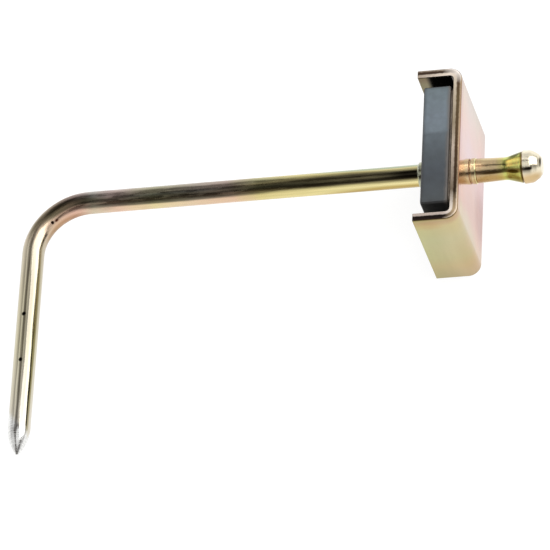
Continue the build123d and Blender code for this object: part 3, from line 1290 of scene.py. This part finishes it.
@dataclass
class MagnetHead:
    """The channel, the ferrite block and its bed. Sizes are in millimetres."""

    swivel_height: float = 20.5
    sheet: float = 3.0
    height: float = 61.0
    length: float = 41.0
    depth: float = 16.0
    inner_bend: float = 1.5
    inner_break: float = 0.15  # rounding of the sheared edges, inside and outside of the bend
    outer_break: float = 0.35
    bore: float = 4.05
    block_front: float = -13.5
    block_back: float = -4.0
    block_height: float = 47.5
    block_bore: float = 4.4
    block_chamfer: float = 0.4
    bed_inset: float = 0.35  # the bead swells nearly to the block's edges
    bed_corner: float = 1.5
    bed_uneven: float = 0.5
    bed_gap: float = 0.02  # keeps the bead's faces off those of the block and the plate
    support: float = 0.03  # from a bend or an edge to the row that keeps the flat beside it flat

    @property
    def neutral(self) -> float:
        """Radius of the bend at the middle of the sheet."""
        return self.inner_bend + self.sheet / 2

    @property
    def flange(self) -> float:
        """Straight run of a flange, from the pole face to the bend."""
        return self.depth - self.inner_bend - self.sheet

    @property
    def half_plate(self) -> float:
        """Half the flat height of the plate."""
        return self.height / 2 - self.inner_bend - self.sheet

    @property
    def whole_run(self) -> float:
        """Length of the sheet round the section, at its middle."""
        return 2 * (self.flange + QUARTER * self.neutral + self.half_plate)

    def section_line(self, run: np.ndarray) -> tuple[np.ndarray, np.ndarray]:
        """The middle of the sheet at distances from the upper pole face, and the way out.

        Along the upper flange the line runs with +X, it turns down through a quarter circle,
        runs down the plate, turns back through another, and runs with -X to the lower pole
        face. It is read off for half the way and mirrored for the rest.

        Args:
            run: Distances along the middle of the sheet.

        Returns:
            Points (x, y), and unit vectors (x, y) that point to the outside of the channel.
        """
        half_way = self.whole_run / 2
        near = half_way - np.abs(run - half_way)
        side = np.where(run <= half_way, 1.0, -1.0)
        turn = np.clip((near - self.flange) / self.neutral, 0, QUARTER)
        past = np.maximum(near - self.flange - QUARTER * self.neutral, 0)
        x = -self.depth + np.minimum(near, self.flange) + self.neutral * np.sin(turn)
        y = self.height / 2 - self.sheet / 2 - self.neutral * (1 - np.cos(turn)) - past
        line = np.stack([x, side * y], axis=-1)
        out = np.stack([np.sin(turn), side * np.cos(turn)], axis=-1)
        return line, out

    def sheet_rows(self) -> np.ndarray:
        """Where the sheet's rectangle is repeated round the section: run, and how far drawn in.

        Towards each pole face the rectangle draws in by r (1 - cos t) while the run goes on by
        r sin t.

        Returns:
            The rows, n by 2.
        """
        edge, gap = self.inner_break, self.support
        ends = np.linspace(0, QUARTER, 8)
        start = np.stack([edge * (1 - np.cos(ends)), edge * (1 - np.sin(ends))], axis=-1)
        bend = np.linspace(0, 1, 21) * QUARTER * self.neutral
        body = np.concatenate([
            np.linspace(edge + gap, self.flange - gap, 6), self.flange + bend,
            np.linspace(self.flange + bend[-1] + gap, self.whole_run / 2, 12)[:-1],
        ])
        rows = np.concatenate([start, np.stack([body, np.zeros_like(body)], axis=-1)])
        mirrored = np.stack([self.whole_run - rows[::-1, 0], rows[::-1, 1]], axis=-1)
        return np.concatenate([rows, [[self.whole_run / 2, 0.0]], mirrored])

    def channel_surface(self) -> Surface:
        """A rounded rectangle, sheet by length, carried round the section, with broken ends.

        At each pole face it closes onto its own middle line. The carried coordinates are only
        held open here: carry() works them out once the bore is cut.

        Returns:
            The closed surface.
        """
        thin, inner, outer = self.sheet / 2, self.inner_break, self.outer_break
        loop = rounded([
            (-thin, 0.5 * self.length, 0), (-thin, 0, inner), (thin, 0, outer),
            (thin, self.length, outer), (-thin, self.length, inner),
            (-thin, 0.5 * self.length, 0),
        ], steps=9)[:-1]
        rows = self.sheet_rows()
        centre = np.array([0.0, self.length / 2])
        room = np.array([thin, self.length / 2])
        inset = rows[:, 1][:, None, None]
        drawn = centre + (loop - centre)[None] * (room - inset) / room
        middle_line = np.clip(loop[:, 1], thin, self.length - thin)
        closed = np.stack([np.zeros(len(loop)), middle_line], axis=-1)[None]
        drawn = np.concatenate([closed, drawn, closed])
        run = np.concatenate([rows[:1, 0], rows[:, 0], rows[-1:, 0]])
        line, out = self.section_line(run)
        flat = line[:, None] + drawn[..., :1] * out[:, None]
        points = np.concatenate([flat, drawn[..., 1:]], axis=-1)
        return woven(points, points)

    def carry(self, mesh: bpy.types.Mesh) -> None:
        """Works out the channel's carried coordinates: run round the section, Z and depth.

        The inverse of section_line: on a flange the run is x from the pole face, in a bend it
        grows with the angle about the bend's centre, and on the plate with the drop in y. The
        depth is the distance outwards from the middle of the sheet.

        Args:
            mesh: The channel's mesh.
        """
        spots = np.empty(len(mesh.vertices) * 3, np.float32)
        mesh.vertices.foreach_get("co", spots)
        x, y, z = (spots.reshape(-1, 3) / MM).T
        bend_x, bend_y = -self.inner_bend - self.sheet, self.half_plate
        aside = np.abs(y)
        angle = np.arctan2(x - bend_x, np.maximum(aside - bend_y, 1e-6))
        on_flange, on_plate = x <= bend_x, aside <= bend_y
        turn = self.flange + QUARTER * self.neutral
        run = np.select(
            [on_flange, on_plate], [x + self.depth, turn + bend_y - aside],
            self.flange + angle * self.neutral,
        )
        depth = np.select(
            [on_flange, on_plate],
            [aside - self.height / 2 + self.sheet / 2, x + self.sheet / 2],
            np.hypot(x - bend_x, aside - bend_y) - self.neutral,
        )
        run = np.where(y < 0, self.whole_run - run, run)
        table = np.stack([run, z, depth], axis=-1).astype(np.float32)
        carried = mesh.attributes.get(CARRIED)
        carried = carried or mesh.attributes.new(CARRIED, "FLOAT_VECTOR", "POINT")
        carried.data.foreach_set("vector", table.ravel())

    def part_edges(self, mesh: bpy.types.Mesh, edge: Material) -> None:
        """Gives the cut edges their own material: faces that look up, down or along -X at a tip.

        Args:
            mesh: The channel's mesh.
            edge: Material of the cut edges.
        """
        facing = 0.95  # least cosine between a cut edge's face and its axis
        pole = -self.depth + 0.1  # a cut edge at a flange's tip lies before this X
        count = len(mesh.polygons)
        normals, centres = np.empty(count * 3, np.float32), np.empty(count * 3, np.float32)
        mesh.polygons.foreach_get("normal", normals)
        mesh.polygons.foreach_get("center", centres)
        normals, centres = normals.reshape(-1, 3), centres.reshape(-1, 3) / MM
        level = np.abs(normals[:, 2]) > facing
        tip = (normals[:, 0] < -facing) & (centres[:, 0] < pole)
        mesh.materials.append(edge)
        mesh.polygons.foreach_set("material_index", (level | tip).astype(np.int32))

    def cut_bore(self, piece: bpy.types.Object, finish: Material) -> None:
        """Cuts the bore through the plate, and puts the result in place of the piece's mesh.

        Args:
            piece: The channel.
            finish: Material of the bore's wall.
        """
        start, end = -2 * self.sheet, self.sheet
        outline = np.array([(start, 0), (start, self.bore), (end, self.bore), (end, 0)])
        cutter = make_piece("bore_cutter", turned(outline, self.swivel_height), [finish])
        cut = piece.modifiers.new("bore", "BOOLEAN")
        cut.operation, cut.solver, cut.object = "DIFFERENCE", "EXACT", cutter
        bpy.context.view_layer.update()
        evaluated = piece.evaluated_get(bpy.context.evaluated_depsgraph_get())
        mesh = bpy.data.meshes.new_from_object(evaluated)
        piece.modifiers.clear()
        old, piece.data = piece.data, mesh
        bpy.data.meshes.remove(old)
        bpy.data.objects.remove(cutter)
        mesh.name = piece.name

    def build_channel(self) -> None:
        """Makes the channel, cuts its bore and dresses it."""
        plating = BentSheetZinc(
            name="zinc_plated_sheet_yellow_passivated",
            film=(
                # flange olive: film colour, plus painted shade for the mirrored floor shadow
                (0, "B9B08E"), (10, "C8BEA8"), (15, "C6B8AC"), (21, "D4BDB2"), (29, "DCB8B1"),
                (38, "D8B8BA"), (44, "D6B2B2"), (51, "DAAEA2"), (60, "D6AA9C"),
                (66.5, "D2BA9C"), (70.5, "C6B892"), (83, "BAB688"),
            ),
            rim_tint_and_shade=(
                (0, "F0E8E8"), (8, "FFF2EC"), (14, "FAFAF4"), (27, "FCFEFF"), (36.5, "FFFCF0"),
                # from 39 mm up, painted shade that dims the highlight on the rounded end edge
                (39, "F2E0DA"), (40.3, "E8DCCC"), (40.7, "B4A48C"), (41, "9A8A70"),
            ),
            stains_and_shades=(  # thinner film on the lower half of the plate, its bend and its flange
                StainAndShade((53, 5, 1.5), (13, 12, 4), "E0D8D8", 0.3),
                StainAndShade((80, 37, 1.5), (8, 4, 4), "FFF0EA"),
                StainAndShade((70, 14, 1.5), (7, 16, 4), "FAF8F4"),
            ),
            whole_run=self.whole_run, drift=2.5, cloud=11.0, grain=(0.25, 0.03, 0.25),
            streak=0.05, groove=0.02, ripple=(6.0, 6.0, 6.0), waviness=0.05, roughness=0.15,
        ).material()
        edge = ShearedEdge().material()
        piece = make_piece("magnet_channel", self.channel_surface(), [plating])
        self.cut_bore(piece, plating)
        self.carry(piece.data)
        self.part_edges(piece.data, edge)
        smooth(piece.data)
        seat(piece, Body.HEAD, "channel")

    def build_block(self) -> None:
        """Makes the ferrite block, with all its outer edges cut."""
        front, back, cut = self.block_front, self.block_back, self.block_chamfer
        rows = np.array([(front, cut), (front + cut, 0.0), (back - cut, 0.0), (back, cut)])
        half = (self.block_height / 2, self.length / 2)
        block = BoredBlock(rows, half, self.block_bore, 2 * cut, self.swivel_height)
        piece = make_piece("ferrite_block", block.surface(), [SinteredFerrite().material()])
        seat(piece, Body.HEAD, "magnet_block")

    def build_bed(self) -> None:
        """Makes the bead of adhesive between the block and the plate, with a bulging edge."""
        front, back = self.block_back, -self.sheet
        rows = np.array([  # places along X, and how far the wall lies inside its widest there
            (front + self.bed_gap, 0.4), (front + 0.25, 0.1), (front + 0.5, 0.0),
            (back - 0.25, 0.1), (back - self.bed_gap, 0.4),
        ])
        half = (self.block_height / 2 - self.bed_inset, self.length / 2 - self.bed_inset)
        bed = BoredBlock(
            rows, half, self.block_bore, self.bed_corner, self.swivel_height,
            uneven=self.bed_uneven, seed=4,
        )
        piece = make_piece("adhesive_bead", bed.surface(), [CuredEpoxy().material()])
        seat(piece, Body.HEAD, "adhesive_bed")

    def build(self) -> None:
        """Makes the head's pieces and dresses them."""
        self.build_channel()
        self.build_block()
        self.build_bed()


# ---------------------------------------------------------------- the studio


@dataclass(frozen=True)
class Panel:
    """A soft round patch of the studio's walls with a brightness of its own."""

    direction: Triple
    reach: float  # degrees from its middle, where it starts to show
    full: float  # degrees from its middle, within which it covers the wall
    level: float


@dataclass
class Studio:
    """Camera, lamps, surroundings and floor."""

    aim: Triple = (-69.5, -35.6, 20.3)  # mm, in the middle of the picture
    distance: float = 1726.0  # mm
    heading: float = 114.91  # degrees from +X to the level direction of sight, anticlockwise
    descent: float = 57.24  # degrees below level
    roll: float = -25.82
    lens: float = 322.0  # mm
    sensor: float = 36.0  # mm
    view_end: float = 50.0  # m
    key_direction: Triple = (0.67, 0.33, 0.67)
    key_distance: float = 1.3  # m
    key_size: tuple[float, float] = (1.2, 1.33)  # m
    key_radiance: float = 2.4  # of a surface whose white is 1
    fill_height: float = 1.6  # m
    fill_size: float = 1.8  # m
    fill_radiance: float = 1.2
    room_tone: str = "FFEEDF"  # the room's few reflections are warm
    room_level: float = 0.07
    wall_full: float = 0.1  # sine of the height up to which the wall is white
    wall_end: float = 0.7  # and of the height where it has faded
    wall_strength: float = 0.95
    panels: tuple[Panel, ...] = (
        Panel((0.93, 0.36, 0.0), 42, 24, 0.28),  # dim gap under the key box
        Panel((0.2, -0.15, 0.97), 26, 21, 0.9),  # pale ceiling over the knob
        Panel((0.14, 0.79, 0.6), 22, 15, 0.85),  # and its lower end behind it
        Panel((0.05, 0.62, 0.78), 19, 9, 0.85),  # pale fold between those two
        Panel((-0.29, 0.49, 0.82), 12, 5, 0.14),  # dim beam over the leg
        Panel((-0.75, -0.2, 0.62), 24, 16, 0.8),  # pale wall across from it
        Panel((-0.70, -0.57, 0.43), 14, 8, 0.02),  # dark gap beside that
        Panel((-0.51, 0.73, 0.45), 17, 9, 0.2),  # dark door behind the bend
        Panel((-0.67, 0.42, 0.62), 22, 10, 0.5),  # pale sheet behind the leg
        Panel((-0.61, 0.49, 0.63), 11, 5, 1.0),  # its bright edge, which the knob's flare mirrors
    )
    floor_size: float = 6.0  # m
    floor_tone: str = "F4F4F4"  # for the light that it throws back
    seen_tone: str = "808080"  # what stays of it beside the glow, for the camera
    floor_glow: float = 0.86  # with the lit half of the floor it comes to white

    def camera(self) -> None:
        """Places the camera on the line of sight, turned about it by the roll."""
        angles = (self.heading, self.descent, self.roll)
        heading, descent, roll = (math.radians(angle) for angle in angles)
        level_part = math.cos(descent)
        sight = Vector((
            math.cos(heading) * level_part, math.sin(heading) * level_part, -math.sin(descent),
        ))
        level = sight.cross(Vector((0, 0, 1))).normalized()
        above = level.cross(sight)
        right = math.cos(roll) * level + math.sin(roll) * above
        top = right.cross(sight)
        data = bpy.data.cameras.new("camera")
        data.lens, data.sensor_width, data.clip_end = self.lens, self.sensor, self.view_end
        camera = new_object("camera", data)
        turn = Matrix((right, top, -sight)).transposed().to_4x4()
        spot = Vector(self.aim) * MM - sight * self.distance * MM
        camera.matrix_world = Matrix.Translation(spot) @ turn
        bpy.context.scene.camera = camera

    def soft_box(
        self, name: str, way: Sequence[float], distance: float, size: Sequence[float],
        radiance: float,
    ) -> bpy.types.Object:
        """Places a rectangular soft box that faces the aim.

        Args:
            name: The lamp's name.
            way: Direction from the aim to the lamp.
            distance: Distance from the aim in metres.
            size: Width and height in metres.
            radiance: Brightness of its face, where a white surface in full light is 1.

        Returns:
            The lamp.
        """
        data = bpy.data.lights.new(name, "AREA")
        data.shape = "RECTANGLE"
        data.size, data.size_y = size
        data.energy = radiance * math.pi * size[0] * size[1]
        lamp = new_object(name, data)
        towards = Vector(way).normalized()
        lamp.location = Vector(self.aim) * MM + towards * distance
        lamp.rotation_euler = towards.to_track_quat("Z", "Y").to_euler()
        return lamp

    def lamps(self) -> None:
        """A key box up behind the knob's side, and an overhead fill that metal doesn't mirror."""
        self.soft_box(
            "key_box", self.key_direction, self.key_distance, self.key_size, self.key_radiance,
        )
        size = (self.fill_size, self.fill_size)
        fill = self.soft_box("fill_box", (0, 0, 1), self.fill_height, size, self.fill_radiance)
        fill.visible_glossy = False

    def surroundings(self) -> None:
        """A pale wall round the object that fades upwards into a dark room, and panels in it.

        They are what the bright metal mirrors, more than what lights it.
        """
        world = bpy.data.worlds.new("studio")
        world.use_nodes = True
        tree = world.node_tree
        tree.nodes.clear()
        way = add_node(tree, "ShaderNodeTexCoord").outputs["Generated"]
        axes = add_node(tree, "ShaderNodeSeparateXYZ", {0: way}).outputs
        low = add_node(
            tree, "ShaderNodeMapRange",
            {
                "Value": axes[2], "From Min": self.wall_full, "From Max": self.wall_end,
                "To Min": 1.0, "To Max": 0.0,
            },
            interpolation_type="SMOOTHSTEP",
        )
        level = low.outputs[0]
        for panel in self.panels:
            towards = add_node(
                tree, "ShaderNodeVectorMath", {0: way, 1: Vector(panel.direction).normalized()},
                operation="DOT_PRODUCT",
            )
            cover = add_node(
                tree, "ShaderNodeMapRange",
                {
                    "Value": towards.outputs["Value"],
                    "From Min": math.cos(math.radians(panel.reach)),
                    "From Max": math.cos(math.radians(panel.full)),
                },
                interpolation_type="SMOOTHSTEP",
            )
            covered = add_node(
                tree, "ShaderNodeMix", {"Factor": cover.outputs[0], 2: level, 3: panel.level},
                data_type="FLOAT",
            )
            level = covered.outputs[0]
        room, wall = colour(self.room_tone), colour("FFFFFF")
        dark = tuple(self.room_level * part for part in room[:3])
        tint = add_node(
            tree, "ShaderNodeMix", {"Factor": level, 6: (*dark, 1.0), 7: wall}, data_type="RGBA",
        )
        shade = add_node(
            tree, "ShaderNodeBackground",
            {"Color": tint.outputs[2], "Strength": self.wall_strength},
        )
        add_node(tree, "ShaderNodeOutputWorld", {"Surface": shade.outputs[0]})
        bpy.context.scene.world = world

    def floor(self) -> None:
        """A pale floor at the height that the channel stands on, clear when seen from below.

        For the light that it throws back on the object it is plain pale paper. For the camera,
        and in a mirror or glass, half of it glows, so it comes out white and keeps a faint
        shadow.
        """
        finish, tree = new_tree("pale_floor")
        seen = add_node(tree, "ShaderNodeLightPath")
        either = add_node(
            tree, "ShaderNodeMath",
            {0: seen.outputs["Is Camera Ray"], 1: seen.outputs["Is Glossy Ray"]},
            operation="MAXIMUM",
        )
        any_view = add_node(
            tree, "ShaderNodeMath",
            {0: either.outputs[0], 1: seen.outputs["Is Transmission Ray"]}, operation="MAXIMUM",
        )
        lit = add_node(tree, "ShaderNodeBsdfDiffuse", {"Color": colour(self.floor_tone)})
        part = add_node(tree, "ShaderNodeBsdfDiffuse", {"Color": colour(self.seen_tone)})
        glow = add_node(
            tree, "ShaderNodeEmission", {"Color": colour("FFFFFF"), "Strength": self.floor_glow},
        )
        lifted = add_node(tree, "ShaderNodeAddShader", {0: part.outputs[0], 1: glow.outputs[0]})
        above = add_node(
            tree, "ShaderNodeMixShader",
            {0: any_view.outputs[0], 1: lit.outputs[0], 2: lifted.outputs[0]},
        )
        side = add_node(tree, "ShaderNodeNewGeometry")
        clear = add_node(tree, "ShaderNodeBsdfTransparent")
        surface = add_node(
            tree, "ShaderNodeMixShader",
            {0: side.outputs["Backfacing"], 1: above.outputs[0], 2: clear.outputs[0]},
        )
        add_node(tree, "ShaderNodeOutputMaterial", {"Surface": surface.outputs[0]})
        half = self.floor_size / 2
        corners = [(-half, -half, 0), (half, -half, 0), (half, half, 0), (-half, half, 0)]
        mesh = bpy.data.meshes.new("floor")
        mesh.from_pydata(corners, [], [(0, 1, 2, 3)])
        mesh.materials.append(finish)
        floor = new_object("floor", mesh)

    def build(self) -> None:
        """Sets up the whole studio."""
        bpy.context.scene.view_settings.view_transform = "Standard"
        self.camera()
        self.lamps()
        self.surroundings()
        self.floor()
        log.info("studio ready")


def main() -> None:
    """Loads the frame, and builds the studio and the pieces."""
    logging.basicConfig(level=logging.INFO, format="%(name)s: %(message)s")
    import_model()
    Studio().build()
    PickBar().build()
    TurnedFittings().build()
    MagnetHead().build()


if __name__ == "__main__":
    main()
